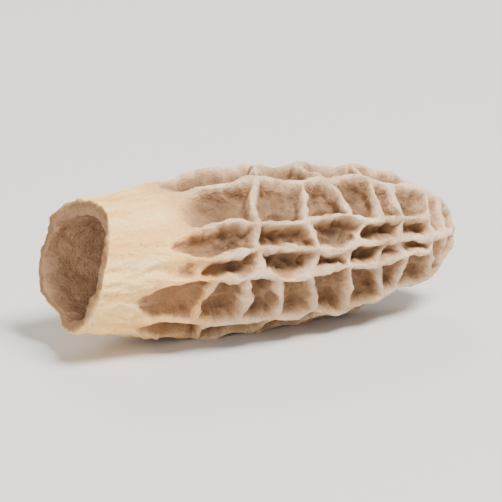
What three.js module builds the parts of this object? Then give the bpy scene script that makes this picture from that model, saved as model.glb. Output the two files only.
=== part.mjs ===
// A dried morel mushroom lying on its side. It grew as one hollow body: a short cut stem that
// opens towards -X, and a cap whose skin is folded into a net of ridges round deep pits.
// Millimetres, +Z up, +X towards the cap's tip, resting on z = 0.
import * as THREE from "three";
import { mergeVertices } from "three/addons/utils/BufferGeometryUtils.js";

// ---- Driving dimensions ----

// Overall size.
const LENGTH = 26.3; // from the lowest part of the cut to the cap's tip
const CAP_WIDTH = 11.2; // widest, along Y
const CAP_HEIGHT = 10.2; // tallest, along Z, before the ground flattens the belly

// The envelope of the ridge crests, at even steps of the path along the skin from the cut to the
// tip. Each figure is a share of the sizes above.
const SKIN_PATH = 28.6;
const ENVELOPE = [
  { along: 0, width: 0.74, height: 0.77, sway: 0, rise: 0.545 },
  { along: 0.135, width: 0.77, height: 0.82, sway: 0.01, rise: 0.485 },
  { along: 0.27, width: 0.91, height: 0.93, sway: 0.02, rise: 0.456 },
  { along: 0.404, width: 1, height: 1, sway: 0.015, rise: 0.455 },
  { along: 0.54, width: 0.99, height: 0.975, sway: 0, rise: 0.452 },
  { along: 0.673, width: 0.92, height: 0.89, sway: -0.015, rise: 0.457 },
  { along: 0.8, width: 0.78, height: 0.76, sway: -0.03, rise: 0.467 },
  { along: 0.92, width: 0.53, height: 0.53, sway: -0.04, rise: 0.46 },
  { along: 1, width: 0, height: 0, sway: -0.045, rise: 0.455 },
];
const LUMPS = [
  { size: 0.022, lobes: 2, twist: 0.21, phase: 0.4 },
  { size: 0.018, lobes: 3, twist: -0.33, phase: 1.9 },
];

// Stem.
const RIM_PATH = 1.5; // mean distance of the cut from the start of the path
const RIM_SLANT = 1.1; // the cut leans back by this much at the top
const RIM_CURL = 0.2; // and its two sides bow towards -X
const RIM_RIPPLE = 0.08;
const RIM_RIPPLES = 5;
const LIP_BULGE = 0.12; // roundness of the cut edge
const STEM_WALL = 0.6;
const FLUTES = 5;
const FLUTE_DEPTH = 0.1;

// Cap. Each column of pits lies between two lengthwise ridges, and crossings part its pits.
// degrees: where the column's first ridge runs; start, crossings: distances along the path.
const COLUMNS = [
  { degrees: 104, start: 6.4, crossings: [11.6, 14.7, 17.2, 19.4, 21.4] },
  { degrees: 141, start: 4.8, crossings: [10.7, 14.8, 18, 20.7] },
  { degrees: 160.5, start: 5, crossings: [7.3, 10.8, 14.4, 16.6, 19.3, 20.9] },
  { degrees: 178, start: 2.8, crossings: [7.6, 9.9, 12.2, 14.5, 17, 19.3, 21.2] },
  { degrees: 218, start: 3.6, crossings: [8.6, 12.2, 15.5, 18.4, 20.9] },
  { degrees: 254, start: 5, crossings: [9.6, 13.5, 16.7, 19.8] },
  { degrees: 283, start: 4.4, crossings: [7.9, 11.7, 14.8, 18.1, 21] },
  { degrees: 309, start: 5.6, crossings: [10.4, 13.7, 17.4, 20.4] },
  { degrees: 336, start: 4.8, crossings: [8.5, 12.6, 16, 19.2] },
  { degrees: 363, start: 6, crossings: [11.4, 14.5, 17.9, 20.8] },
  { degrees: 394, start: 5.2, crossings: [9.2, 13.4, 17, 20.1] },
  { degrees: 428, start: 6.8, crossings: [12.9, 16.5, 19.7] },
];
const ROOT = 1.5; // a ridge's root lies this far beyond the starts of the pits beside it
const CAP_TWIST = 0.8; // degrees for each millimetre of path
const TWIST_START = 10;
const RIDGE_WAVE = 1.6; // degrees
const RIDGE_WAVE_PATH = 7;
const RIDGE_PULL = 2.6; // degrees by which each crossing pulls a ridge towards itself
const PULL_REACH = 1.1;
const CREST_WAVE = 0.09;
const CREST_WAVE_RATE = 1.9;
const CROSS_SAG = 0.3; // how much lower a crossing is at its middle
const CROSS_SLANT = 1;
const CROSS_BOW = 0.5;
const SHARE_WITHIN = 0.85; // crossings that meet a ridge closer than this share one junction

// Crown. Odd ridges end here, so that each two columns join into one that runs on to the tip.
const CROWN = 23.1;
const CROWN_CROSSING = 25.2; // parts the two pits of a joined column
const CROWN_SPREAD = 0.7;
const APEX = 27; // path of the ring of ridge round the tip
const APEX_SPREAD = 0.5;
const APEX_DIMPLE = 0.7;

// Pits.
const RIDGE_HALF = 0.22; // half the thickness of a ridge at its crest
const WALL_RUN = 0.22; // how far a pit's wall leans in from mouth to foot
const PIT_DEPTH = 1.3;
const PIT_DEPTH_TO_WIDTH = 0.75;
const LEAST_DEPTH = 0.15;
const CROWN_DEPTH = 0.7;
const CROWN_FADE = 3; // path over which the depth falls off before the crown
const START_DEPTH = 0.26; // share of the depth with which the lowest pits start
const START_RAMP = 3; // path over which they reach it all

// Hollow.
const FLOOR_WALL = 0.36; // flesh left under a pit's floor
const WALL_GROWS = { from: 0.5, to: 6.3 };
const HOLLOW_END = 22.4; // path where the hollow's blind end closes
const HOLLOW_CAP = 0.6;

// Facets.
const EDGE_STEP = 0.85;
const CROSS_STEPS = 4;
const CORNER_ROUNDING = [0, 1, 2, 3]; // smoothing passes on each ring of a pit
const STEM_ROWS = 5;
const HOLLOW_ROWS = 9;
const APEX_RINGS = [0.3, 0.7];
const INSET_STEP = 0.01; // shares of the way in at which a pit's mouth and foot are looked for
const INSET_LIMIT = 0.9;
const WELD = 1e-4;
const SEED = 5;

// ---- Envelope ----

const { clamp, degToRad, lerp, smoothstep } = THREE.MathUtils;

// Numbers from 0 to 1, the same on every run.
function randomFrom(seed) {
  let state = seed;
  return () => {
    state = (state * 48271) % 2147483647;
    return state / 2147483647;
  };
}
const random = randomFrom(SEED);
const spread = (size) => (random() - 0.5) * size;

// A figure of the envelope at its k-th step. Past the tip it is mirrored, so that the tip is round.
function envelopeStep(name, k) {
  const last = ENVELOPE.length - 1;
  if (k < 0) return 2 * ENVELOPE[0][name] - ENVELOPE[1][name];
  if (k <= last) return ENVELOPE[k][name];
  const mirrored = ENVELOPE[2 * last - k][name];
  return name === "width" || name === "height" ? -mirrored : mirrored;
}

function envelope(name, path) {
  const last = ENVELOPE.length - 1;
  const at = clamp((path / SKIN_PATH) * last, 0, last);
  const i = Math.min(Math.floor(at), last - 1);
  const [a, b, c, d] = [i - 1, i, i + 1, i + 2].map((k) => envelopeStep(name, k));
  const t = at - i;
  return b + 0.5 * t * (c - a + t * (2 * a - 5 * b + 4 * c - d + t * (3 * (b - c) + d - a)));
}

// The envelope's point at an angle round the axis: 0 towards +Y, a quarter turn up, three down.
function envelopePoint(angle, path) {
  const swell = ({ size, lobes, twist, phase }) => size * Math.sin(lobes * angle + twist * path + phase);
  const lumps = LUMPS.reduce((sum, lump) => sum + swell(lump), 1);
  const halfWidth = (envelope("width", path) * CAP_WIDTH * lumps) / 2;
  const halfHeight = (envelope("height", path) * CAP_HEIGHT * lumps) / 2;
  return new THREE.Vector3(
    envelope("along", path) * LENGTH,
    envelope("sway", path) * CAP_WIDTH + halfWidth * Math.cos(angle),
    envelope("rise", path) * CAP_HEIGHT + halfHeight * Math.sin(angle),
  );
}

function envelopeNormal(angle, path) {
  const nudge = 0.01;
  const near = Math.min(path, SKIN_PATH - 2 * nudge);
  const round = envelopePoint(angle + nudge, near).sub(envelopePoint(angle - nudge, near));
  const forward = envelopePoint(angle, near + nudge).sub(envelopePoint(angle, near - nudge));
  return round.cross(forward).normalize();
}

// A point of the skin. Height is measured outwards from the envelope. The ground flattens the skin.
function place({ angle, path, height }) {
  const point = envelopePoint(angle, path).addScaledVector(envelopeNormal(angle, path), height);
  point.z = Math.max(point.z, 0);
  return point;
}

function meanRadius(path) {
  return Math.sqrt(envelope("width", path) * CAP_WIDTH * envelope("height", path) * CAP_HEIGHT) / 2;
}

// ---- Net of ridges ----

const ridgeCount = COLUMNS.length;
const previous = (index, count) => (index + count - 1) % count;
const ridgePhase = COLUMNS.map(() => random() * 2 * Math.PI);

// A crossing runs from the ridge on its left to the one on its right, and bows towards the tip.
function crossing(left, right, bow, sag) {
  return { left, right, bow, sag, roundness: 2 };
}

// Junctions that fall close together on a ridge become one.
function shareJunctions(crossings, neighbours) {
  for (const one of crossings)
    for (const other of neighbours)
      if (Math.abs(one.left - other.right) < SHARE_WITHIN) one.left = other.right;
}

function plainCrossing(path) {
  const slant = spread(CROSS_SLANT);
  return crossing(path + slant, path - slant, spread(CROSS_BOW), CROSS_SAG);
}

// Column c lies between ridges c and c + 1. Its crossings run from the stem to the crown.
const columns = COLUMNS.map(({ crossings }) => crossings.map(plainCrossing));
columns.forEach((own, column) => shareJunctions(own, columns[previous(column, ridgeCount)]));

// The lowest pits start in a point between the roots of their ridges.
const roots = COLUMNS.map(({ start }, ridge) => {
  const neighbour = COLUMNS[previous(ridge, ridgeCount)];
  return (start + neighbour.start) / 2 + ROOT;
});
columns.forEach((own, column) => {
  const [left, right] = [roots[column], roots[(column + 1) % ridgeCount]];
  const bow = COLUMNS[column].start - (left + right) / 2;
  own.unshift({ ...crossing(left, right, bow, CROSS_SAG / 2), roundness: 1.3 });
});

// Each two columns end at one crooked crossing, and share the two pits beyond it.
const crowns = [];
const apexes = COLUMNS.map(() => APEX + spread(APEX_SPREAD));
for (let column = 0; column < ridgeCount; column += 2) {
  const middle = CROWN + spread(CROWN_SPREAD);
  columns[column].push(crossing(middle + 0.4 + spread(0.5), middle, 0.15, CROSS_SAG));
  columns[column + 1].push(crossing(middle, middle + 0.4 + spread(0.5), 0.15, CROSS_SAG));
  crowns.push(plainCrossing(CROWN_CROSSING + spread(CROWN_SPREAD)));
}
crowns.forEach((own, i) => shareJunctions([own], [crowns[previous(i, crowns.length)]]));

// Every crossing pulls the ridges at its two ends a little towards itself.
function ridgePull(ridge, path) {
  const bump = (junction) => Math.exp(-(((path - junction) / PULL_REACH) ** 2));
  const total = (crossings, end) => crossings.slice(1).reduce((sum, one) => sum + bump(one[end]), 0);
  return RIDGE_PULL * (total(columns[ridge], "left") - total(columns[previous(ridge, ridgeCount)], "right"));
}

// Ridge numbers run on past the last ridge, so that the angles of a pit's two sides stay in order.
function ridgeAngle(ridge, path) {
  const turns = Math.floor(ridge / ridgeCount);
  const i = ridge % ridgeCount;
  const wave = RIDGE_WAVE * Math.sin((2 * Math.PI * path) / RIDGE_WAVE_PATH + ridgePhase[i]);
  const twist = CAP_TWIST * Math.max(0, path - TWIST_START);
  return degToRad(COLUMNS[i].degrees + 360 * turns + wave + ridgePull(i, path) + twist);
}

function ridgePoint(ridge, path) {
  const phase = 2 * ridgePhase[ridge % ridgeCount];
  const height = -CREST_WAVE * (1 + Math.sin(CREST_WAVE_RATE * path + phase));
  return { angle: ridgeAngle(ridge, path), path, height };
}

// All junctions on a ridge.
function junctionsOn(ridge) {
  const behind = columns[previous(ridge, ridgeCount)];
  const ends = [...behind.map((one) => one.right), ...columns[ridge].map((one) => one.left)];
  if (ridge % 2 === 0) {
    const pair = ridge / 2;
    ends.push(crowns[pair].left, crowns[previous(pair, crowns.length)].right, apexes[ridge]);
  }
  return [...new Set(ends)].sort((a, b) => a - b);
}

// The places on a ridge where facets meet: its junctions, with even steps between them.
const ridgeStops = COLUMNS.map((_, ridge) => {
  const junctions = junctionsOn(ridge);
  const stops = junctions.slice(1).flatMap((to, k) => {
    const from = junctions[k];
    const parts = Math.max(1, Math.round((to - from) / EDGE_STEP));
    return Array.from({ length: parts }, (_, p) => lerp(from, to, p / parts));
  });
  return [...stops, junctions.at(-1)];
});

function ridgeStretch(ridge, from, to) {
  const stops = ridgeStops[ridge % ridgeCount].filter((path) => path >= from && path <= to);
  return stops.map((path) => ridgePoint(ridge, path));
}

// The points of a crossing between two ridges, ends included.
function crossingPoints(leftRidge, rightRidge, { left, right, bow, sag, roundness }) {
  const start = ridgePoint(leftRidge, left);
  const end = ridgePoint(rightRidge, right);
  const inner = Array.from({ length: CROSS_STEPS - 1 }, (_, k) => {
    const share = (k + 1) / CROSS_STEPS;
    const arch = 1 - Math.abs(2 * share - 1) ** roundness;
    return {
      angle: lerp(start.angle, end.angle, share),
      path: lerp(left, right, share) + bow * arch,
      height: lerp(start.height, end.height, share) - sag * arch,
    };
  });
  return [start, ...inner, end];
}

// ---- Skin ----

const corners = [];

// A band of triangles from a closed loop of points to the one on its left.
function addBand(loop, inner) {
  loop.forEach((point, j) => {
    const k = (j + 1) % loop.length;
    corners.push(point, loop[k], inner[k]);
    corners.push(point, inner[k], inner[j]);
  });
}

function addFan(loop, middle) {
  loop.forEach((point, j) => corners.push(point, loop[(j + 1) % loop.length], middle));
}

function middleOf(loop) {
  return loop.reduce((sum, point) => sum.add(point), new THREE.Vector3()).divideScalar(loop.length);
}

// A loop with its corners drawn in, once for every pass.
function rounded(loop, passes) {
  if (passes === 0) return loop;
  const softer = loop.map((point, j) => {
    const [a, b] = [loop.at(j - 1), loop[(j + 1) % loop.length]];
    const mix = (name) => (a[name] + 2 * point[name] + b[name]) / 4;
    return { x: mix("x"), y: mix("y"), crest: mix("crest") };
  });
  return rounded(softer, passes - 1);
}

function pitDepth(path, half, start) {
  const deep = Math.min(PIT_DEPTH, 2 * half * PIT_DEPTH_TO_WIDTH);
  const crown = smoothstep(path, CROWN - CROWN_FADE, APEX);
  const ramp = lerp(START_DEPTH, 1, smoothstep(path, start, start + START_RAMP));
  return lerp(deep, Math.min(deep, CROWN_DEPTH), crown) * ramp;
}

const middleOfRange = (values) => (Math.min(...values) + Math.max(...values)) / 2;
const halfOfRange = (values) => (Math.max(...values) - Math.min(...values)) / 2;

function distanceToSegment(point, a, b) {
  const [dx, dy] = [b.x - a.x, b.y - a.y];
  const along = ((point.x - a.x) * dx + (point.y - a.y) * dy) / (dx * dx + dy * dy);
  const share = clamp(along, 0, 1);
  return Math.hypot(point.x - a.x - share * dx, point.y - a.y - share * dy);
}

function distanceToLoop(point, loop) {
  return Math.min(...loop.map((corner, j) => distanceToSegment(point, loop.at(j - 1), corner)));
}

// The first point on the way from a border point to its target that clears the whole border.
function insetPoint(from, target, border, clearance) {
  const at = (share) => ({ ...from, x: lerp(from.x, target.x, share), y: lerp(from.y, target.y, share) });
  let share = 0;
  while (share < INSET_LIMIT && distanceToLoop(at(share), border) < clearance) share += INSET_STEP;
  return at(share);
}

// One pit inside a border of ridge crests. Rings of points step inwards and down to its floor,
// and narrow towards a spine along its longer way.
function addPit(border, start) {
  const angle = middleOfRange(border.map((point) => point.angle));
  const path = middleOfRange(border.map((point) => point.path));
  const flat = border.map((point) => ({
    x: (point.angle - angle) * meanRadius(point.path),
    y: point.path - path,
    crest: point.height,
  }));
  const [width, length] = [halfOfRange(flat.map((p) => p.x)), halfOfRange(flat.map((p) => p.y))];
  const half = Math.min(width, length);
  const spineOf = ({ x, y }) => ({
    x: clamp(x, half - width, width - half),
    y: clamp(y, half - length, length - half),
  });
  const mouth = Math.min(RIDGE_HALF, 0.38 * half);
  const foot = Math.min(RIDGE_HALF + WALL_RUN, 0.68 * half);
  const inset = (clearance) => flat.map((point) => insetPoint(point, spineOf(point), flat, clearance));
  const footLoop = inset(foot);
  const floorLoop = footLoop.map((point) => {
    const target = spineOf(point);
    return { ...point, x: lerp(point.x, target.x, 0.6), y: lerp(point.y, target.y, 0.6) };
  });
  const down = [0, 0.12, 0.9, 1];
  const rings = [flat, inset(mouth), footLoop, floorLoop].map((loop, k) =>
    rounded(loop, CORNER_ROUNDING[k]).map(({ x, y, crest }) => {
      const floor = Math.min(crest - LEAST_DEPTH, -pitDepth(path + y, half, start));
      const height = lerp(crest, floor, down[k]);
      return place({ angle: angle + x / meanRadius(path + y), path: path + y, height });
    }),
  );
  rings.slice(1).forEach((inner, k) => addBand(rings[k], inner));
  addFan(rings.at(-1), place({ angle, path, height: -pitDepth(path, half, start) }));
}

// The border of a pit, counterclockwise seen from outside.
function borderOf(bottom, rightSide, top, leftSide) {
  const sides = [bottom, rightSide, top.toReversed(), leftSide.toReversed()];
  return sides.flatMap((side) => side.slice(0, -1));
}

columns.forEach((own, column) => {
  own.slice(1).forEach((high, k) => {
    const low = own[k];
    const bottom = crossingPoints(column, column + 1, low);
    const top = crossingPoints(column, column + 1, high);
    const rightSide = ridgeStretch(column + 1, low.right, high.right);
    const leftSide = ridgeStretch(column, low.left, high.left);
    addPit(borderOf(bottom, rightSide, top, leftSide), COLUMNS[column].start);
  });
});

// The crown's pits, between the even ridges.
const apexLoop = [];
crowns.forEach((crown, pair) => {
  const [left, middle, right] = [2 * pair, 2 * pair + 1, 2 * pair + 2];
  const [low, lowNext] = [columns[left].at(-1), columns[middle].at(-1)];
  const ring = crossing(apexes[left], apexes[right % ridgeCount], 0.2, CROSS_SAG / 2);
  const lowPoints = crossingPoints(left, middle, low).slice(0, -1);
  const bottom = [...lowPoints, ...crossingPoints(middle, right, lowNext)];
  const between = crossingPoints(left, right, crown);
  const top = crossingPoints(left, right, ring);
  const side = (ridge, from, to) => ridgeStretch(ridge, from, to);
  const lowRight = side(right, lowNext.right, crown.right);
  const lowLeft = side(left, low.left, crown.left);
  addPit(borderOf(bottom, lowRight, between, lowLeft), 0);
  addPit(borderOf(between, side(right, crown.right, ring.right), top, side(left, crown.left, ring.left)), 0);
  apexLoop.push(...top.slice(0, -1));
});

// The tip is a shallow dimple inside the ring of ridge.
const apexRings = [0, ...APEX_RINGS].map((share) =>
  apexLoop.map((point) => {
    const height = lerp(point.height, -APEX_DIMPLE, Math.min(1, 1.6 * share));
    return place({ angle: point.angle, path: lerp(point.path, SKIN_PATH, share), height });
  }),
);
apexRings.slice(1).forEach((inner, k) => addBand(apexRings[k], inner));
addFan(apexRings.at(-1), middleOf(apexRings.at(-1)));

// ---- Stem and hollow ----

const baseLoop = columns.flatMap((own, column) => crossingPoints(column, column + 1, own[0]).slice(0, -1));

function rimPath(angle) {
  const ripple = RIM_RIPPLE * Math.sin(RIM_RIPPLES * angle + 2);
  return RIM_PATH + RIM_SLANT * Math.sin(angle) - RIM_CURL * Math.cos(2 * angle) + ripple;
}

// A row of the stem's skin, a share of the way from the cut to the roots of the ridges.
function stemRow(share) {
  return baseLoop.map(({ angle, path, height }) => {
    const fade = Math.sin(Math.PI * Math.min(1, share + 0.25));
    const flute = -FLUTE_DEPTH * fade * (1 + Math.sin(FLUTES * angle + 1));
    return { angle, path: lerp(rimPath(angle), path, share), height: lerp(flute, height, share) };
  });
}

// The hollow follows the skin from inside, and ends blind in the cap.
const rim = stemRow(0);
function hollowRow(share) {
  return rim.map((point) => {
    const path = lerp(point.path, HOLLOW_END, share);
    const growth = smoothstep(path, WALL_GROWS.from, WALL_GROWS.to);
    return { angle: point.angle, path, height: -lerp(STEM_WALL, PIT_DEPTH + FLOOR_WALL, growth) };
  });
}

// One run of rows, from the hollow's blind end over the lip to the roots of the ridges.
const lip = rim.map(({ angle, path, height }) => {
  return { angle, path: path - LIP_BULGE, height: height - STEM_WALL / 2 };
});
const hollowRows = Array.from({ length: HOLLOW_ROWS + 1 }, (_, k) => hollowRow(1 - k / HOLLOW_ROWS));
const stemRows = Array.from({ length: STEM_ROWS }, (_, k) => stemRow(k / STEM_ROWS));
const rows = [...hollowRows, lip, ...stemRows, baseLoop].map((row) => row.map(place));
rows.slice(1).forEach((row, k) => addBand(rows[k], row));
addFan(rows[0].toReversed(), middleOf(rows[0]).add(new THREE.Vector3(HOLLOW_CAP, 0, 0)));

// ---- Part ----

const geometry = mergeVertices(new THREE.BufferGeometry().setFromPoints(corners), WELD);
geometry.computeBoundingBox();
const centre = geometry.boundingBox.getCenter(new THREE.Vector3());
geometry.translate(-centre.x, -centre.y, 0);
geometry.computeVertexNormals();

const flesh = new THREE.MeshStandardMaterial({ color: 0xa68c70, roughness: 0.85, metalness: 0 });
const morel = new THREE.Mesh(geometry, flesh);
morel.name = "morel";

const group = new THREE.Group();
group.add(morel);
export default group;
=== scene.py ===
"""A dried morel mushroom on a pale studio floor.

The fine skin follows the same net of ridges and pits as the solid in the frame. Lengths of the
mushroom are in millimetres until the mesh is made. Blender's own lengths are in metres.
"""

import math

import bmesh
import bpy
import numpy as np
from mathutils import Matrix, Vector, geometry, noise


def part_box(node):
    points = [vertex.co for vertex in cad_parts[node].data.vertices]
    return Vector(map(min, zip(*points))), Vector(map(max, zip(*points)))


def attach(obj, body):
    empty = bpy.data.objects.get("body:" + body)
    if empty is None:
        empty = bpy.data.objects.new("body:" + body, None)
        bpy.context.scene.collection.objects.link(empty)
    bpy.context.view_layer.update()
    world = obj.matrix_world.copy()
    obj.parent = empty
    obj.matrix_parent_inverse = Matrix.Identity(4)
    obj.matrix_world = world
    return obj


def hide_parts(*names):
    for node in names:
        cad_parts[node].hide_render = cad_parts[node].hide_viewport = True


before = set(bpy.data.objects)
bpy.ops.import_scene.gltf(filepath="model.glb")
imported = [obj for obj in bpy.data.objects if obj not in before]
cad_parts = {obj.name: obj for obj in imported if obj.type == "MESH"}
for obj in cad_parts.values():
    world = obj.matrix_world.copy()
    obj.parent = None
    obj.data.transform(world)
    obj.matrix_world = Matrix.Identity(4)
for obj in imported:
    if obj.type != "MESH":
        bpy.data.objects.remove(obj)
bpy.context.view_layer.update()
MM = 0.001

# ---- Driving dimensions, as in the solid ----

# Paths, starts and crossings are distances along the skin from the cut. Depths are measured inwards
# from the envelope of the ridge crests. Turns, twists and waves of the ridges are in degrees.

LENGTH = 26.3
CAP_WIDTH = 11.2
CAP_HEIGHT = 10.2
SKIN_PATH = 28.6

# The envelope of the ridge crests at even steps of the path along the skin, from cut to tip.
ENVELOPE = {
    "along": (0, 0.135, 0.27, 0.404, 0.54, 0.673, 0.8, 0.92, 1),
    "width": (0.74, 0.77, 0.91, 1, 0.99, 0.92, 0.78, 0.53, 0),
    "height": (0.77, 0.82, 0.93, 1, 0.975, 0.89, 0.76, 0.53, 0),
    "sway": (0, 0.01, 0.02, 0.015, 0, -0.015, -0.03, -0.04, -0.045),
    "rise": (0.545, 0.485, 0.456, 0.455, 0.452, 0.457, 0.467, 0.46, 0.455),
}
# Each lump: size, lobes, twist, phase.
LUMPS = ((0.022, 2, 0.21, 0.4), (0.018, 3, -0.33, 1.9))

RIM_PATH = 1.5
RIM_SLANT = 1.1
RIM_CURL = 0.2
RIM_RIPPLE = 0.08
RIM_RIPPLES = 5
RIPPLE_PHASE = 2
LIP_BULGE = 0.12
STEM_WALL = 0.6
FLUTES = 5
FLUTE_DEPTH = 0.1
FLUTE_PHASE = 1
FLUTE_START = 0.25

# Each column of pits: degrees of its first ridge, where it starts, and its crossings.
COLUMNS = (
    (104, 6.4, (11.6, 14.7, 17.2, 19.4, 21.4)),
    (141, 4.8, (10.7, 14.8, 18, 20.7)),
    (160.5, 5, (7.3, 10.8, 14.4, 16.6, 19.3, 20.9)),
    (178, 2.8, (7.6, 9.9, 12.2, 14.5, 17, 19.3, 21.2)),
    (218, 3.6, (8.6, 12.2, 15.5, 18.4, 20.9)),
    (254, 5, (9.6, 13.5, 16.7, 19.8)),
    (283, 4.4, (7.9, 11.7, 14.8, 18.1, 21)),
    (309, 5.6, (10.4, 13.7, 17.4, 20.4)),
    (336, 4.8, (8.5, 12.6, 16, 19.2)),
    (363, 6, (11.4, 14.5, 17.9, 20.8)),
    (394, 5.2, (9.2, 13.4, 17, 20.1)),
    (428, 6.8, (12.9, 16.5, 19.7)),
)
ROOT = 1.5  # a ridge's root lies this far beyond the starts of the pits beside it
START_ROUNDNESS = 1.3  # of the arc in which a column starts
CAP_TWIST = 0.8  # for each millimetre of path
TWIST_START = 10
RIDGE_WAVE = 1.6
RIDGE_WAVE_PATH = 7
RIDGE_PULL = 2.6  # by which each crossing pulls a ridge towards itself
PULL_REACH = 1.1
CREST_WAVE = 0.09
CREST_WAVE_RATE = 1.9
CROSS_SAG = 0.3  # how much lower a crossing is at its middle
CROSS_SLANT = 1
CROSS_BOW = 0.5
SHARE_WITHIN = 0.85  # crossings that meet a ridge closer than this share one junction

# Odd ridges end at the crown, so that each two columns join into one that runs on to the tip.
CROWN = 23.1
CROWN_CROSSING = 25.2
CROWN_SPREAD = 0.7
CROWN_STEP = 0.4  # by which a crossing below the crown is crooked
CROWN_STEP_SPREAD = 0.5
CROWN_BOW = 0.15
APEX = 27
APEX_SPREAD = 0.5
APEX_BOW = 0.2
APEX_DIMPLE = 0.7

RIDGE_HALF = 0.22  # half the thickness of a ridge at its crest
WALL_RUN = 0.22  # how far a pit's wall leans in from mouth to foot
WIDEST_FOOT = 0.68  # share of a pit's half width
PIT_DEPTH = 1.3
PIT_DEPTH_TO_WIDTH = 0.75
LEAST_DEPTH = 0.15
CROWN_DEPTH = 0.7
CROWN_FADE = 3
START_DEPTH = 0.26
START_RAMP = 3

FLOOR_WALL = 0.36  # flesh left under a pit's floor
WALL_GROWS = (0.5, 6.3)
HOLLOW_END = 22.4
HOLLOW_CAP = 0.6

# The draws, a plain multiplying generator.
SEED = 5
DRAW_FACTOR = 48271
DRAW_RANGE = 2147483647

# ---- Fine surface ----

STEP = 0.14  # between the points of a ridge
RINGS = 9  # of points from a ridge's crest to the foot of its wall
FLOOR_STEP = 0.15  # between the points of a pit's floor
CLOSEST = 0.6  # share of a step that is kept free between two points
RING_CLEAR = 0.9  # share of a ring's distance that its points keep from the whole border
FEWEST_PARTS = 4  # of a crossing
STEM_ROWS = 44
LIP_ROWS = 5
HOLLOW_ROWS = 70
APEX_RINGS = 9
APEX_CLOSED = 0.92  # share of the way to the tip that the dimple's rings reach
DIMPLE_STEEP = 1.6
DIMPLE_CREST = 0.5  # how much less of a crest the dimple is than its ring
WELD = 0.002
CREST_ROUND = 0.16  # share of a pit's depth that falls away on the rounded crest
CREST_TOP = 0.28  # where the steep wall starts, as a share of the way to its foot
DISH = 0.4  # over which a floor goes on falling beyond the wall's foot
DISH_SHARE = 0.12
PLEAT = 0.42  # depth of the folds down a wall, as a share of the wall's run
PLEAT_FADES = (0.4, 2.5)  # where they are whole and where they end, in shares of the same
SHARPEST = 0.2  # cosine of the sharpest bend left between two triangles
UNFOLD_PASSES = 12
UNFOLD_SHARE = 0.6
CAP_STARTS = (5.5, 10)  # path over which the stem's look turns into the cap's

# How far the fine relief moves the skin.
WARP = 0.2
FINE_WARP = 0.08
LUMP = 0.1  # soft lumps on the cap, and likewise below on the stem and in the hollow
STEM_LUMP = 0.08
HOLLOW_LUMP = 0.14
CRUMPLE = 0.2  # on a pit's floor
CREST_CRUMPLE = 0.07
VEIN = 0.2
HOLLOW_VEIN = 0.1
GRAIN = 0.035
STEM_GRAIN = 0.02
FURROW = 0.2  # lengthwise, on the stem
WRINKLE = 0.34  # finer than the furrows
RAGGED = 0.4  # unevenness of the cut edge
FINE_RAGGED = 0.14
MEAN_CREASE = 0.35
CREASE_OCTAVES = 3
VEIN_HALF = 0.15
CUT_SMOOTH = 0.6  # how much of the stem's relief is lost at the cut

# How many waves of each pattern there are in a millimetre, or along X, Y and Z.
WARP_RATE = 0.55
FINE_WARP_RATE = 1.3
FINE_WARP_OFFSET = Vector((9, 0, 0))
VEIN_RATE = 0.8
LUMP_RATE = 1.1
CRUMPLE_RATE = 1.15
GRAIN_RATE = 4.5
PLEAT_RATES = (1.3, 3.4)
RAGGED_RATES = (0.6, 2.3)
FURROW_RATES = (0.14, 0.62, 0.62)
WRINKLE_RATES = (0.3, 1.4, 1.4)


def smoothstep(low, high, value):
    share = np.clip((value - low) / (high - low), 0, 1)
    return share * share * (3 - 2 * share)


def lerp(a, b, share):
    return a + (b - a) * share


# ---- Envelope ----

def envelope(name, path):
    """A figure of the envelope along the path, on a smooth curve through its steps."""
    steps = ENVELOPE[name]
    mirrored = -steps[-2] if name in ("width", "height") else steps[-2]
    knots = np.array([2 * steps[0] - steps[1], *steps, mirrored])
    last = len(steps) - 1
    at = np.clip(np.asarray(path, float) / SKIN_PATH * last, 0, last)
    i = np.minimum(at.astype(int), last - 1)
    a, b, c, d = (knots[i + k] for k in range(4))
    t = at - i
    return b + 0.5 * t * (c - a + t * (2 * a - 5 * b + 4 * c - d + t * (3 * (b - c) + d - a)))


def envelope_point(angle, path):
    lumps = 1 + sum(size * np.sin(lobes * angle + twist * path + phase)
                    for size, lobes, twist, phase in LUMPS)
    half_width = envelope("width", path) * CAP_WIDTH * lumps / 2
    half_height = envelope("height", path) * CAP_HEIGHT * lumps / 2
    return np.stack([
        envelope("along", path) * LENGTH,
        envelope("sway", path) * CAP_WIDTH + half_width * np.cos(angle),
        envelope("rise", path) * CAP_HEIGHT + half_height * np.sin(angle),
    ], axis=-1)


def envelope_normal(angle, path):
    nudge = 0.01
    near = np.minimum(path, SKIN_PATH - 2 * nudge)
    around = envelope_point(angle + nudge, near) - envelope_point(angle - nudge, near)
    forward = envelope_point(angle, near + nudge) - envelope_point(angle, near - nudge)
    normal = np.cross(around, forward)
    return normal / np.linalg.norm(normal, axis=-1, keepdims=True)


def place(spots):
    """The places of spots on the skin, each an angle, a path and a height above the envelope."""
    angle, path, height = np.asarray(spots, float).T
    return envelope_point(angle, path) + envelope_normal(angle, path) * height[:, None]


def mean_radius(path):
    return np.sqrt(envelope("width", path) * CAP_WIDTH * envelope("height", path) * CAP_HEIGHT) / 2


# ---- Net of ridges ----

def draws(seed):
    """Numbers from 0 to 1, the same as in the solid."""
    state = seed
    while True:
        state = state * DRAW_FACTOR % DRAW_RANGE
        yield state / DRAW_RANGE


DRAW = draws(SEED)


def spread(size):
    return (next(DRAW) - 0.5) * size


class Crossing:
    """A ridge across a column, from the ridge on its left to the one on its right."""

    def __init__(self, left, right, bow, sag, roundness=2):
        self.left = left
        self.right = right
        self.bow = bow
        self.sag = sag
        self.roundness = roundness


def plain_crossing(path):
    slant = spread(CROSS_SLANT)
    return Crossing(path + slant, path - slant, spread(CROSS_BOW), CROSS_SAG)


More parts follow.
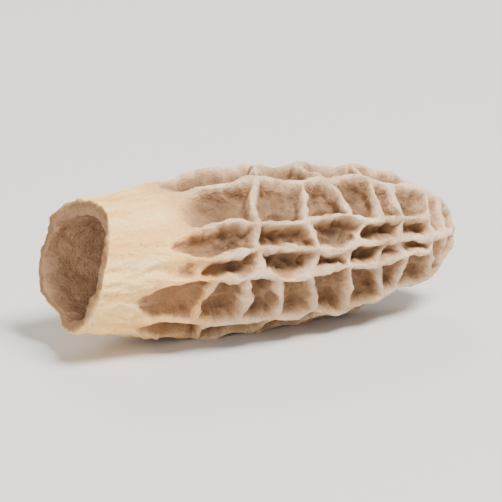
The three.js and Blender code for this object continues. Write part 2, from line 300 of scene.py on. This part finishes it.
def share_junctions(crossings, neighbours):
    for one in crossings:
        for other in neighbours:
            if abs(one.left - other.right) < SHARE_WITHIN:
                one.left = other.right


RIDGES = len(COLUMNS)
ridge_phase = [next(DRAW) * 2 * math.pi for _ in COLUMNS]
columns = [[plain_crossing(path) for path in crossings] for _, _, crossings in COLUMNS]
for column, own in enumerate(columns):
    share_junctions(own, columns[column - 1])

starts = [start for _, start, _ in COLUMNS]
roots = [(starts[ridge] + starts[ridge - 1]) / 2 + ROOT for ridge in range(RIDGES)]
for column, own in enumerate(columns):
    left, right = roots[column], roots[(column + 1) % RIDGES]
    bow = starts[column] - (left + right) / 2
    own.insert(0, Crossing(left, right, bow, CROSS_SAG / 2, START_ROUNDNESS))

crowns = []
apexes = [APEX + spread(APEX_SPREAD) for _ in COLUMNS]
for column in range(0, RIDGES, 2):
    middle = CROWN + spread(CROWN_SPREAD)
    before = middle + CROWN_STEP + spread(CROWN_STEP_SPREAD)
    after = middle + CROWN_STEP + spread(CROWN_STEP_SPREAD)
    columns[column].append(Crossing(before, middle, CROWN_BOW, CROSS_SAG))
    columns[column + 1].append(Crossing(middle, after, CROWN_BOW, CROSS_SAG))
    crowns.append(plain_crossing(CROWN_CROSSING + spread(CROWN_SPREAD)))
for pair, crown in enumerate(crowns):
    share_junctions([crown], [crowns[pair - 1]])


def ridge_angle(ridge, path):
    """Crossings pull the ridges at their ends a little towards themselves."""
    turns, i = divmod(ridge, RIDGES)
    pulls = [np.exp(-((path - one.left) / PULL_REACH) ** 2) for one in columns[i][1:]]
    pulls += [-np.exp(-((path - one.right) / PULL_REACH) ** 2) for one in columns[i - 1][1:]]
    wave = RIDGE_WAVE * np.sin(2 * math.pi * path / RIDGE_WAVE_PATH + ridge_phase[i])
    twist = CAP_TWIST * np.maximum(0, path - TWIST_START)
    return np.radians(COLUMNS[i][0] + 360 * turns + wave + RIDGE_PULL * sum(pulls) + twist)


def ridge_spots(ridge, path):
    path = np.asarray(path, float)
    phase = 2 * ridge_phase[ridge % RIDGES]
    height = -CREST_WAVE * (1 + np.sin(CREST_WAVE_RATE * path + phase))
    return np.stack([ridge_angle(ridge, path), path, height], axis=-1)


def stops_on(ridge):
    """The paths of the points of a ridge: its junctions, with even steps between them."""
    ends = {one.right for one in columns[ridge - 1]} | {one.left for one in columns[ridge]}
    if ridge % 2 == 0:
        pair = ridge // 2
        ends |= {crowns[pair].left, crowns[pair - 1].right, apexes[ridge]}
    ends = sorted(ends)
    stops = []
    for low, high in zip(ends, ends[1:]):
        parts = max(1, round((high - low) / STEP))
        stops += [lerp(low, high, part / parts) for part in range(parts)]
    return np.array([*stops, ends[-1]])


ridge_stops = [stops_on(ridge) for ridge in range(RIDGES)]


def ridge_part(ridge, low, high):
    """The part of a ridge between two of its junctions, both included."""
    stops = ridge_stops[ridge % RIDGES]
    slack = 1e-9
    return ridge_spots(ridge, stops[(stops > low - slack) & (stops < high + slack)])


def crossing_spots(left_ridge, right_ridge, one):
    """The points of a crossing, arched between the two ridges that it joins."""
    start = ridge_spots(left_ridge, one.left)
    end = ridge_spots(right_ridge, one.right)
    width = (end[0] - start[0]) * mean_radius((one.left + one.right) / 2)
    parts = max(FEWEST_PARTS, round(math.hypot(width, one.right - one.left) / STEP))
    share = np.linspace(0, 1, parts + 1)
    arch = 1 - np.abs(2 * share - 1) ** one.roundness
    spots = start + (end - start) * share[:, None]
    spots[:, 1] += one.bow * arch
    spots[:, 2] -= one.sag * arch
    spots[0], spots[-1] = start, end
    return spots


def border_of(bottom, right_side, top, left_side):
    """The border of a pit, counterclockwise seen from outside."""
    return np.concatenate([bottom[:-1], right_side[:-1], top[::-1][:-1], left_side[::-1][:-1]])


# ---- Skin ----

class Surface:
    """Points with what they are, and the triangles between them.

    crest is 1 on a ridge and 0 on a pit's floor. cap is 0 on the stem and 1 on the cap. inside is
    1 in the hollow. cut is 1 on the cut edge of the stem.
    """

    TRAITS = ("crest", "cap", "inside", "cut")

    def __init__(self):
        self.points = []
        self.traits = []
        self.faces = []
        self.count = 0

    def add(self, points, **traits):
        values = [np.broadcast_to(traits.get(name, 0), len(points)) for name in self.TRAITS]
        self.points.append(points)
        self.traits.append(np.stack(values, axis=-1))
        self.count += len(points)
        return np.arange(self.count - len(points), self.count)

    def band(self, loop, inner):
        """Triangles from a closed loop of points to the one on its left."""
        following, inner_following = np.roll(loop, -1), np.roll(inner, -1)
        self.faces.append(np.stack([loop, following, inner_following], axis=-1))
        self.faces.append(np.stack([loop, inner_following, inner], axis=-1))

    def fan(self, loop, middle):
        self.faces.append(np.stack([loop, np.roll(loop, -1), np.full(len(loop), middle)], axis=-1))


def cap_share(path):
    return smoothstep(*CAP_STARTS, path)


def distances(points, loop):
    """Each point's distance to a closed loop, the nearest segment, and the share along that."""
    ahead = np.roll(loop, -1, axis=0) - loop
    offset = points[:, None, :] - loop[None, :, :]
    along = np.clip((offset * ahead).sum(-1) / (ahead * ahead).sum(-1), 0, 1)
    gap = np.linalg.norm(offset - along[..., None] * ahead, axis=-1)
    nearest = gap.argmin(axis=1)
    rows = np.arange(len(points))
    return gap[rows, nearest], nearest, along[rows, nearest]


def thinned(points, gap):
    """Points along a loop, without those closer than the gap to the last one kept."""
    kept = [points[0]]
    for point in points[1:]:
        if np.hypot(*(point - kept[-1])) > gap and np.hypot(*(point - kept[0])) > gap:
            kept.append(point)
    return np.array(kept)


def inside_loop(points, loop):
    ahead = np.roll(loop, -1, axis=0)
    x, y = points[:, 0, None], points[:, 1, None]
    crosses = (loop[:, 1] > y) != (ahead[:, 1] > y)
    rise = np.where(ahead[:, 1] == loop[:, 1], 1, ahead[:, 1] - loop[:, 1])
    at = loop[:, 0] + (y - loop[:, 1]) * (ahead[:, 0] - loop[:, 0]) / rise
    return ((crosses & (x < at)).sum(axis=1) % 2).astype(bool)


def ring_points(flat, clearance):
    """Points inside a border, at one distance from it."""
    tangent = np.roll(flat, -1, axis=0) - np.roll(flat, 1, axis=0)
    tangent /= np.linalg.norm(tangent, axis=1, keepdims=True)
    inward = np.stack([-tangent[:, 1], tangent[:, 0]], axis=-1)
    candidates = flat + inward * clearance
    clear = distances(candidates, flat)[0] > RING_CLEAR * clearance
    candidates = candidates[clear & inside_loop(candidates, flat)]
    return thinned(candidates, CLOSEST * STEP) if len(candidates) else candidates


def floor_points(flat, clearance):
    """Points of the floor, in offset rows."""
    low, high = flat.min(axis=0), flat.max(axis=0)
    across = np.arange(low[0], high[0], FLOOR_STEP)
    rows = np.arange(low[1], high[1], FLOOR_STEP * math.sqrt(0.75))
    grid = np.array([(x + FLOOR_STEP / 2 * (k % 2), y) for k, y in enumerate(rows) for x in across])
    grid = grid[inside_loop(grid, flat)]
    if not len(grid):
        return grid
    return grid[distances(grid, flat)[0] > clearance + CLOSEST * FLOOR_STEP]


def pit_depth(path, half, start):
    deep = min(PIT_DEPTH, 2 * half * PIT_DEPTH_TO_WIDTH)
    crown = smoothstep(CROWN - CROWN_FADE, APEX, path)
    ramp = lerp(START_DEPTH, 1, smoothstep(start, start + START_RAMP, path))
    return lerp(deep, min(deep, CROWN_DEPTH), crown) * ramp


def wall_profile(distance, foot):
    """How far down a pit is, as a share of its depth: a round crest, a steep wall, a dished floor."""
    share = np.minimum(1, distance / foot)
    wall = CREST_ROUND * share ** 2 + (1 - CREST_ROUND) * smoothstep(CREST_TOP, 1, share)
    floor = 1 - np.exp(-np.maximum(0, distance - foot) / DISH)
    return lerp(wall, floor, DISH_SHARE)


def pleats(places, gap, foot):
    """Folds that run down a wall: how far it stands in or out below each place on its crest."""
    rate, fine_rate = PLEAT_RATES
    whole, end = PLEAT_FADES
    folds = [noise.noise(Vector(p) * rate) + 0.5 * noise.noise(Vector(p) * fine_rate) for p in places]
    fade = smoothstep(0, whole * foot, gap) * (1 - smoothstep(foot, end * foot, gap))
    return PLEAT * foot * np.array(folds) * fade


def triangulated(flat, foot):
    """Fine points inside a border and the triangles between them.

    Also gives, for each point, the numbers of the points that it was made from.
    """
    rings = [ring_points(flat, foot * k / RINGS) for k in range(1, RINGS + 1)]
    inner = [ring for ring in [*rings, floor_points(flat, foot)] if len(ring)]
    corners = [Vector(corner) for corner in np.concatenate([flat, *inner])]
    outline = list(range(len(flat)))
    only_inside, tolerance = 1, 1e-5
    made, _, faces, origins, _, _ = geometry.delaunay_2d_cdt(
        corners, [], [outline], only_inside, tolerance)
    points = np.array([tuple(corner) for corner in made])
    return points, np.array([tuple(face) for face in faces]), origins


def add_pit(surface, border, start):
    """Sinks a pit within its border. It is worked out flat and then put on the envelope."""
    angle, path = (border[:, :2].min(axis=0) + border[:, :2].max(axis=0)) / 2
    flat = np.stack([(border[:, 0] - angle) * mean_radius(border[:, 1]), border[:, 1] - path], axis=-1)
    half = np.ptp(flat, axis=0).min() / 2
    foot = min(RIDGE_HALF + WALL_RUN, WIDEST_FOOT * half)
    made, faces, origins = triangulated(flat, foot)
    gap, nearest, along = distances(made, flat)
    crest = lerp(border[nearest, 2], np.roll(border[:, 2], -1)[nearest], along)
    rim = place(border)
    under = lerp(rim[nearest], np.roll(rim, -1, axis=0)[nearest], along[:, None])
    down = wall_profile(np.maximum(0, gap + pleats(under, gap, foot)), foot)
    floor = np.minimum(crest - LEAST_DEPTH, -pit_depth(path + made[:, 1], half, start))
    spots = np.stack([
        angle + made[:, 0] / mean_radius(path + made[:, 1]),
        path + made[:, 1],
        lerp(crest, floor, down),
    ], axis=-1)
    for i, origin in enumerate(origins):
        if origin and min(origin) < len(flat):
            spots[i] = border[min(origin)]
            down[i] = 0
    depth = (crest - floor) / PIT_DEPTH
    indices = surface.add(place(spots), crest=1 - down * np.clip(depth, 0, 1),
                          cap=cap_share(spots[:, 1]))
    surface.faces.append(indices[faces])


def add_columns(surface):
    """The pits between each two neighbouring ridges, up to the crown."""
    for column, own in enumerate(columns):
        for low, high in zip(own, own[1:]):
            border = border_of(
                crossing_spots(column, column + 1, low),
                ridge_part(column + 1, low.right, high.right),
                crossing_spots(column, column + 1, high),
                ridge_part(column, low.left, high.left))
            add_pit(surface, border, starts[column])


def add_crown(surface):
    """The pits between the even ridges. Gives the ring of ridge round the tip."""
    apex_loop = []
    for pair, crown in enumerate(crowns):
        left, middle, right = 2 * pair, 2 * pair + 1, 2 * pair + 2
        low, low_next = columns[left][-1], columns[middle][-1]
        ring = Crossing(apexes[left], apexes[right % RIDGES], APEX_BOW, CROSS_SAG / 2)
        bottom = np.concatenate([crossing_spots(left, middle, low)[:-1],
                                 crossing_spots(middle, right, low_next)])
        between = crossing_spots(left, right, crown)
        top = crossing_spots(left, right, ring)
        add_pit(surface, border_of(bottom, ridge_part(right, low_next.right, crown.right), between,
                                   ridge_part(left, low.left, crown.left)), 0)
        add_pit(surface, border_of(between, ridge_part(right, crown.right, ring.right), top,
                                   ridge_part(left, crown.left, ring.left)), 0)
        apex_loop.append(top[:-1])
    return np.concatenate(apex_loop)


def add_dimple(surface, apex_loop):
    """Rings that sink from the ridge round the tip, and a fan that closes them."""
    loops = []
    for share in np.linspace(0, APEX_CLOSED, APEX_RINGS):
        sunk = min(1, DIMPLE_STEEP * share)
        spots = apex_loop.copy()
        spots[:, 1] = lerp(spots[:, 1], SKIN_PATH, share)
        spots[:, 2] = lerp(spots[:, 2], -APEX_DIMPLE, sunk)
        loops.append(surface.add(place(spots), crest=1 - DIMPLE_CREST * sunk, cap=1))
    for loop, inner in zip(loops, loops[1:]):
        surface.band(loop, inner)
    last = surface.points[-1]
    traits = dict(zip(surface.TRAITS, surface.traits[-1][-1]))
    middle = surface.add(last.mean(axis=0, keepdims=True), **traits)
    surface.fan(loops[-1], middle[0])


# ---- Stem and hollow ----

def rim_path(angle):
    ripple = RIM_RIPPLE * np.sin(RIM_RIPPLES * angle + RIPPLE_PHASE)
    return RIM_PATH + RIM_SLANT * np.sin(angle) - RIM_CURL * np.cos(2 * angle) + ripple


def stem_row(base, share):
    """A row round the stem, at a share of the way from the cut to the base of the cap."""
    angle, path, height = base.T
    fade = math.sin(math.pi * min(1, share + FLUTE_START))
    flute = -FLUTE_DEPTH * fade * (1 + np.sin(FLUTES * angle + FLUTE_PHASE))
    return np.stack([angle, lerp(rim_path(angle), path, share), lerp(flute, height, share)], axis=-1)


def hollow_row(rim, share):
    """A row round the hollow, at a share of the way from the cut to its blind end."""
    path = lerp(rim[:, 1], HOLLOW_END, share)
    growth = smoothstep(*WALL_GROWS, path)
    return np.stack([rim[:, 0], path, -lerp(STEM_WALL, PIT_DEPTH + FLOOR_WALL, growth)], axis=-1)


def lip_row(rim, turn):
    """The cut edge, a half round from the hollow's side to the outside."""
    row = rim.copy()
    row[:, 1] -= LIP_BULGE * math.sin(math.pi * turn)
    row[:, 2] -= STEM_WALL * (0.5 + 0.5 * math.cos(math.pi * turn))
    return row


def add_stem_and_hollow(surface):
    """One run of rows, from the hollow's blind end over the lip to the roots of the ridges."""
    base = np.concatenate([crossing_spots(column, column + 1, own[0])[:-1]
                           for column, own in enumerate(columns)])
    rim = stem_row(base, 0)
    blind = hollow_row(rim, 1)
    first = surface.add(place(blind), inside=1)
    middle = surface.add(place(blind).mean(axis=0, keepdims=True) + (HOLLOW_CAP, 0, 0), inside=1)
    surface.fan(first[::-1], middle[0])
    loops = [first]
    for k in range(HOLLOW_ROWS - 1, -1, -1):
        loops.append(surface.add(place(hollow_row(rim, k / HOLLOW_ROWS)), inside=1))
    for k in range(1, LIP_ROWS + 1):
        turn = k / (LIP_ROWS + 1)
        row = place(lip_row(rim, turn))
        loops.append(surface.add(row, inside=1 - turn, crest=1, cut=math.sin(math.pi * turn)))
    for k in range(STEM_ROWS):
        row = stem_row(base, k / STEM_ROWS)
        loops.append(surface.add(place(row), crest=1, cap=cap_share(row[:, 1])))
    loops.append(surface.add(place(base), crest=1, cap=cap_share(base[:, 1])))
    for row, following in zip(loops, loops[1:]):
        surface.band(row, following)


# ---- Fine relief ----

def scaled(p, rates):
    return Vector([value * rate for value, rate in zip(p, rates)])


def creases(p):
    """Sharp folds, from 0 at a crease to about 1, less their mean."""
    hard = True
    folds = noise.turbulence(p, CREASE_OCTAVES, hard, noise_basis="PERLIN_ORIGINAL")
    return min(1.0, folds) - MEAN_CREASE


def warp_at(p):
    """How far the cap's skin is drawn sideways."""
    fine = noise.noise_vector(p * FINE_WARP_RATE + FINE_WARP_OFFSET)
    return noise.noise_vector(p * WARP_RATE) * WARP + fine * FINE_WARP


def vein_at(p):
    """1 on the fine net that runs over the floors of the pits, and 0 between."""
    cells, _ = noise.voronoi(p)
    return math.exp(-((cells[1] - cells[0]) / VEIN_HALF) ** 2)


def relief(point, normal, traits):
    """How a point of the skin is moved, and how much of a vein it is."""
    crest, cap, inside, cut = traits
    p = Vector(point)
    outer = 1 - inside
    stem = (1 - cap) * crest * outer * (1 - CUT_SMOOTH * cut)
    warp = warp_at(p)
    vein = vein_at(p * VEIN_RATE + warp)
    lump = noise.noise(p * LUMP_RATE)
    crumple = creases(p * CRUMPLE_RATE)
    furrow = noise.noise(scaled(p, FURROW_RATES))
    wrinkle = creases(scaled(p, WRINKLE_RATES))
    up = cap * outer * (LUMP * lump - lerp(CRUMPLE, CREST_CRUMPLE, crest) * crumple)
    up += VEIN * vein * cap * (1 - crest) * outer
    up += (GRAIN + STEM_GRAIN * stem) * noise.noise(p * GRAIN_RATE)
    up += stem * (STEM_LUMP * lump + FURROW * furrow - WRINKLE * wrinkle)
    up += inside * (HOLLOW_LUMP * lump + HOLLOW_VEIN * vein)
    rate, fine_rate = RAGGED_RATES
    ragged = cut * (RAGGED * noise.noise(p * rate) + FINE_RAGGED * noise.noise(p * fine_rate))
    return warp * cap * outer + normal * up - Vector((ragged, 0, 0)), vein


def make_mesh(surface):
    """One welded mesh that carries the traits of its points."""
    points = np.concatenate(surface.points) * MM
    traits = np.concatenate(surface.traits)
    faces = np.concatenate(surface.faces)
    mesh = bpy.data.meshes.new("morel_skin")
    mesh.from_pydata(points.tolist(), [], faces.tolist())
    for k, name in enumerate(surface.TRAITS):
        mesh.attributes.new(name, "FLOAT", "POINT").data.foreach_set("value", traits[:, k])
    welded = bmesh.new()
    welded.from_mesh(mesh)
    bmesh.ops.remove_doubles(welded, verts=welded.verts, dist=WELD * MM)
    welded.to_mesh(mesh)
    welded.free()
    return mesh


def read(mesh, name):
    values = np.zeros(len(mesh.vertices))
    mesh.attributes[name].data.foreach_get("value", values)
    return values


def add_relief(mesh):
    """Moves every point by the fine relief, and keeps where the veins run."""
    traits = np.stack([read(mesh, name) for name in Surface.TRAITS], axis=-1).tolist()
    normals = [Vector(item.vector) for item in mesh.vertex_normals]
    veins = []
    moved = []
    for vertex, normal, own in zip(mesh.vertices, normals, traits):
        shift, vein = relief(vertex.co / MM, normal, own)
        moved.extend(vertex.co + shift * MM)
        veins.append(vein)
    mesh.vertices.foreach_set("co", moved)
    mesh.attributes.new("vein", "FLOAT", "POINT").data.foreach_set("value", veins)


def corners_of(mesh):
    corners = np.empty(3 * len(mesh.polygons), int)
    mesh.polygons.foreach_get("vertices", corners)
    return corners.reshape(-1, 3)


def places_of(mesh):
    places = np.empty(3 * len(mesh.vertices))
    mesh.vertices.foreach_get("co", places)
    return places.reshape(-1, 3)


def unfold(mesh):
    """Relaxes the skin wherever it is folded too sharply."""
    faces, places = corners_of(mesh), places_of(mesh)
    sides = np.sort(np.concatenate([faces[:, [0, 1]], faces[:, [1, 2]], faces[:, [2, 0]]]), axis=1)
    order = np.lexsort(sides.T)
    edges = sides[order][::2]  # the mesh is closed, so each edge is the side of two triangles
    pairs = (order % len(faces)).reshape(-1, 2)
    degree = np.bincount(edges.ravel(), minlength=len(places))[:, None]
    for _ in range(UNFOLD_PASSES):
        a, b, c = (places[faces[:, k]] for k in range(3))
        normals = np.cross(b - a, c - a)
        normals /= np.linalg.norm(normals, axis=1, keepdims=True)
        bend = (normals[pairs[:, 0]] * normals[pairs[:, 1]]).sum(axis=1)
        folded = np.zeros(len(places), bool)
        folded[edges[bend < SHARPEST]] = True
        folded[edges[folded[edges].any(axis=1)]] = True
        total = np.zeros_like(places)
        np.add.at(total, edges[:, 0], places[edges[:, 1]])
        np.add.at(total, edges[:, 1], places[edges[:, 0]])
        places[folded] = lerp(places, total / degree, UNFOLD_SHARE)[folded]
    mesh.vertices.foreach_set("co", places.ravel())
    mesh.update()


def settle(mesh):
    """Centres the mesh on the frame's box, and flattens it where the floor meets it."""
    low, high = (Vector(corner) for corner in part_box("morel"))
    places = places_of(mesh)
    middle = (places.min(axis=0) + places.max(axis=0)) / 2
    places[:, 0] += (low.x + high.x) / 2 - middle[0]
    places[:, 1] += (low.y + high.y) / 2 - middle[1]
    places[:, 2] = np.maximum(places[:, 2], 0)
    mesh.vertices.foreach_set("co", places.ravel())


# ---- Materials ----

def rgb(red, green, blue):
    """A colour from its everyday 0 to 255 figures."""
    def linear(value):
        value /= 255
        return value / 12.92 if value < 0.04045 else ((value + 0.055) / 1.055) ** 2.4
    return (linear(red), linear(green), linear(blue), 1)


# Ramps, each a row of positions and colours.
CAP_SHADES = (  # from the floor of a pit to the crest of a ridge
    (0.0, rgb(84, 60, 42)),
    (0.26, rgb(122, 92, 64)),
    (0.48, rgb(150, 116, 84)),
    (0.66, rgb(186, 150, 114)),
    (0.82, rgb(216, 184, 148)),
    (1.0, rgb(236, 210, 178)),
)
STEM_SHADES = ((0.3, rgb(238, 178, 98)), (0.52, rgb(255, 208, 134)), (0.75, rgb(255, 226, 164)))
HOLLOW_SHADES = ((0.3, rgb(144, 108, 80)), (0.55, rgb(170, 132, 100)), (0.78, rgb(194, 156, 122)))

CAP_BLOTCH = rgb(138, 100, 66)
CAP_NEAR_STEM = rgb(188, 134, 88)
CAP_FLECK = rgb(92, 60, 38)
STEM_FLECK = rgb(170, 116, 66)
STEM_NEAR_CAP = rgb(226, 164, 92)
HOLLOW_FLECK = rgb(92, 60, 40)
# The cut edge's own brown flesh, darkened further as painted shade, so that the lit lip looks as dark
# as the shaded hollow behind it.
CUT_FLESH_AND_SHADE = rgb(124, 90, 62)
CUT_SHADE_SHARE = 0.85
FLOOR_GREY = rgb(216, 214, 211)

VEIN_PALER = 0.14  # how much of a crest's paleness a vein has
CREST_SCALE = 0.86
BARE_FROM = 0.9  # a crest below this takes the cap's colours, also on the stem
BARE_SHARP = 5.0


class Nodes:
    """A material's node tree, with short calls for the nodes that it uses."""

    def __init__(self, name):
        self.material = bpy.data.materials.new(name)
        self.material.use_nodes = True
        self.tree = self.material.node_tree
        self.shader = self.tree.nodes["Principled BSDF"]

    def add(self, kind, **inputs):
        node = self.tree.nodes.new(kind)
        for name, value in inputs.items():
            self.feed(node.inputs[name.replace("_", " ")], value)
        return node

    def feed(self, socket, value):
        if isinstance(value, bpy.types.NodeSocket):
            self.tree.links.new(value, socket)
        else:
            socket.default_value = value

    def place(self):
        return self.tree.nodes.new("ShaderNodeTexCoord").outputs["Object"]

    def trait(self, name):
        node = self.tree.nodes.new("ShaderNodeAttribute")
        node.attribute_name = name
        return node.outputs["Fac"]

    def math(self, operation, a, b=0.0, clamp=False):
        node = self.tree.nodes.new("ShaderNodeMath")
        node.operation = operation
        node.use_clamp = clamp
        self.feed(node.inputs[0], a)
        self.feed(node.inputs[1], b)
        return node.outputs[0]

    def lengthwise(self, stretch):
        """Places squeezed along the mushroom, which draws a pattern out that way."""
        node = self.tree.nodes.new("ShaderNodeVectorMath")
        node.operation = "MULTIPLY"
        self.feed(node.inputs[0], self.place())
        self.feed(node.inputs[1], (stretch, 1, 1))
        return node.outputs[0]

    def noise(self, scale, detail=4.0, roughness=0.55, place=None):
        """A noise from 0 to 1. Its scale, like that of cells, is in waves for each metre."""
        node = self.add("ShaderNodeTexNoise", Vector=place or self.place(), Scale=scale,
                        Detail=detail, Roughness=roughness)
        return node.outputs["Fac"]

    def wander(self, scale):
        """A noise about 0, which makes the border between two looks uneven."""
        return self.math("MULTIPLY", self.math("SUBTRACT", self.noise(scale), 0.5), 0.5)

    def cells(self, scale):
        node = self.add("ShaderNodeTexVoronoi", Vector=self.place(), Scale=scale)
        return node.outputs["Distance"]

    def ramp(self, value, *stops):
        """A colour ramp. Each stop is a position and a colour or a grey."""
        node = self.add("ShaderNodeValToRGB", Fac=value)
        elements = node.color_ramp.elements
        while len(elements) < len(stops):
            elements.new(1)
        for element, (position, colour) in zip(elements, stops):
            element.position = position
            element.color = colour if isinstance(colour, tuple) else (colour, colour, colour, 1)
        return node.outputs["Color"]

    def mix(self, share, a, b):
        node = self.tree.nodes.new("ShaderNodeMix")
        node.data_type = "RGBA"
        colour_a, colour_b, colour_out = 6, 7, 2  # sockets that share their names with other types
        self.feed(node.inputs["Factor"], share)
        self.feed(node.inputs[colour_a], a)
        self.feed(node.inputs[colour_b], b)
        return node.outputs[colour_out]


def cap_colour(nodes, crest):
    """Dark brown pits, amber near the stem, and paler tan ridges, with blotches and flecks."""
    up = nodes.math("ADD", crest, nodes.math("MULTIPLY", nodes.trait("vein"), VEIN_PALER))
    up = nodes.math("MULTIPLY", nodes.math("ADD", up, nodes.wander(900)), CREST_SCALE)
    skin = nodes.ramp(up, *CAP_SHADES)
    blotch = nodes.ramp(nodes.noise(260, 3), (0.36, 0.0), (0.68, 0.45))
    skin = nodes.mix(blotch, skin, CAP_BLOTCH)
    near_stem = nodes.ramp(nodes.trait("cap"), (0.0, 0.4), (0.9, 0.0))
    skin = nodes.mix(near_stem, skin, CAP_NEAR_STEM)
    flecks = nodes.ramp(nodes.noise(6500, 2), (0.62, 0.0), (0.7, 0.45))
    return nodes.mix(flecks, skin, CAP_FLECK)


def stem_colour(nodes):
    """Cream flesh with tan streaks along it, brown flecks, and a golden tinge near the cap."""
    streaks = nodes.noise(900, 4, place=nodes.lengthwise(0.22))
    cream = nodes.ramp(streaks, *STEM_SHADES)
    flecks = nodes.ramp(nodes.noise(5200, 2), (0.64, 0.0), (0.72, 0.6))
    cream = nodes.mix(flecks, cream, STEM_FLECK)
    near_cap = nodes.math("ADD", nodes.trait("cap"), nodes.math("MULTIPLY", streaks, 0.3))
    tinge = nodes.ramp(near_cap, (0.2, 0.0), (0.5, 0.7))
    return nodes.mix(tinge, cream, STEM_NEAR_CAP)


def hollow_colour(nodes):
    """Amber brown, paler on the grains."""
    skin = nodes.ramp(nodes.noise(700, 5), *HOLLOW_SHADES)
    flecks = nodes.ramp(nodes.noise(4600, 2), (0.6, 0.0), (0.7, 0.35))
    return nodes.mix(flecks, skin, HOLLOW_FLECK)


def flesh_material():
    """Stem, cap, hollow and cut edge, each with its colours where the mesh says so."""
    nodes = Nodes("dried_flesh")
    crest = nodes.trait("crest")
    edge = nodes.wander(500)
    down = nodes.math("ADD", nodes.math("SUBTRACT", BARE_FROM, crest), edge)
    bare = nodes.math("MULTIPLY", down, BARE_SHARP, clamp=True)
    on_cap = nodes.math("ADD", nodes.trait("cap"), edge)
    on_cap = nodes.math("MAXIMUM", on_cap, bare, clamp=True)
    outside = nodes.mix(on_cap, stem_colour(nodes), cap_colour(nodes, crest))
    colour = nodes.mix(nodes.trait("inside"), outside, hollow_colour(nodes))
    # The cut edge takes a brown that is partly its own flesh colour and partly painted shade.
    colour = nodes.mix(nodes.math("MULTIPLY", nodes.trait("cut"), CUT_SHADE_SHARE), colour, CUT_FLESH_AND_SHADE)
    nodes.feed(nodes.shader.inputs["Base Color"], colour)
    rough = nodes.ramp(nodes.noise(1200, 3), (0.3, 0.62), (0.7, 0.86))
    nodes.feed(nodes.shader.inputs["Roughness"], rough)
    nodes.feed(nodes.shader.inputs["Subsurface Weight"], 0.12)
    nodes.feed(nodes.shader.inputs["Subsurface Radius"], (1.0, 0.5, 0.25))
    nodes.feed(nodes.shader.inputs["Subsurface Scale"], 0.4 * MM)
    nodes.feed(nodes.shader.inputs["Specular IOR Level"], 0.35)
    add_bump(nodes)
    return nodes.material


def add_bump(nodes):
    """Leathery wrinkles over lengthwise ones and grains."""
    long = nodes.add("ShaderNodeBump", Strength=0.8, Distance=0.18 * MM,
                     Height=nodes.noise(1700, 5, 0.6, nodes.lengthwise(0.2)))
    wrinkles = nodes.add("ShaderNodeBump", Strength=0.9, Distance=0.16 * MM,
                         Height=nodes.noise(2200, 5, 0.65), Normal=long.outputs["Normal"])
    grains = nodes.add("ShaderNodeBump", Strength=0.6, Distance=0.05 * MM, Height=nodes.cells(7000),
                       Normal=wrinkles.outputs["Normal"])
    nodes.feed(nodes.shader.inputs["Normal"], grains.outputs["Normal"])


def floor_material():
    nodes = Nodes("studio_floor")
    nodes.feed(nodes.shader.inputs["Base Color"], FLOOR_GREY)
    nodes.feed(nodes.shader.inputs["Roughness"], 0.7)
    return nodes.material


# ---- Object ----

def make_morel():
    noise.seed_set(SEED)  # without this, noise_vector takes its offsets from the clock
    surface = Surface()
    add_columns(surface)
    apex_loop = add_crown(surface)
    add_dimple(surface, apex_loop)
    add_stem_and_hollow(surface)
    mesh = make_mesh(surface)
    add_relief(mesh)
    unfold(mesh)
    settle(mesh)
    unfold(mesh)  # flattening the belly folds it a little again
    mesh.shade_smooth()
    mesh.materials.append(flesh_material())
    morel = bpy.data.objects.new("morel_skin", mesh)
    bpy.context.scene.collection.objects.link(morel)
    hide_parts("morel")
    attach(morel, "root")


# ---- Studio ----

CAMERA_AZIMUTH = math.radians(-27)
CAMERA_ELEVATION = math.radians(16.5)
CAMERA_DISTANCE = 0.262
VIEW_WIDTH = 0.0295
SENSOR = 36
CLIP_START = 0.01
LOOK_AT = Vector((-0.0003, 0, 0.0046))
FLOOR_HALF = 2.0
SKY = (0.95, 0.97, 1, 1)
SKY_STRENGTH = 0.45
# Each light: name, place, size, watts, colour.
LIGHTS = (
    ("key", (0.1, -0.16, 0.34), 0.14, 3.7, (1, 0.97, 0.93)),
    ("fill", (-0.3, -0.18, 0.1), 0.2, 0.8, (1, 0.98, 0.96)),
    ("back", (0.08, 0.3, 0.2), 0.15, 0.6, (1, 0.95, 0.88)),
)


def aim(thing, target):
    thing.rotation_euler = (target - thing.location).to_track_quat("-Z", "Y").to_euler()


def add_camera():
    camera = bpy.data.cameras.new("camera")
    camera.sensor_width = SENSOR
    camera.lens = SENSOR * CAMERA_DISTANCE / VIEW_WIDTH
    camera.clip_start = CLIP_START
    holder = bpy.data.objects.new("camera", camera)
    bpy.context.scene.collection.objects.link(holder)
    level = math.cos(CAMERA_ELEVATION)
    towards = Vector((math.sin(CAMERA_AZIMUTH) * level, -math.cos(CAMERA_AZIMUTH) * level,
                      math.sin(CAMERA_ELEVATION)))
    holder.location = LOOK_AT + towards * CAMERA_DISTANCE
    aim(holder, LOOK_AT)
    bpy.context.scene.camera = holder


def add_light(name, place_at, size, watts, colour):
    light = bpy.data.lights.new(name, "AREA")
    light.size = size
    light.energy = watts
    light.color = colour
    holder = bpy.data.objects.new(name, light)
    bpy.context.scene.collection.objects.link(holder)
    holder.location = place_at
    aim(holder, LOOK_AT)


def add_floor():
    mesh = bpy.data.meshes.new("studio_floor")
    half = FLOOR_HALF
    corners = [(-half, -half, 0), (half, -half, 0), (half, half, 0), (-half, half, 0)]
    mesh.from_pydata(corners, [], [(0, 1, 2, 3)])
    mesh.materials.append(floor_material())
    floor = bpy.data.objects.new("studio_floor", mesh)
    bpy.context.scene.collection.objects.link(floor)


def add_world():
    world = bpy.data.worlds.new("studio")
    world.use_nodes = True
    background = world.node_tree.nodes["Background"]
    background.inputs["Color"].default_value = SKY
    background.inputs["Strength"].default_value = SKY_STRENGTH
    bpy.context.scene.world = world


add_camera()
add_floor()
add_world()
for figures in LIGHTS:
    add_light(*figures)
make_morel()
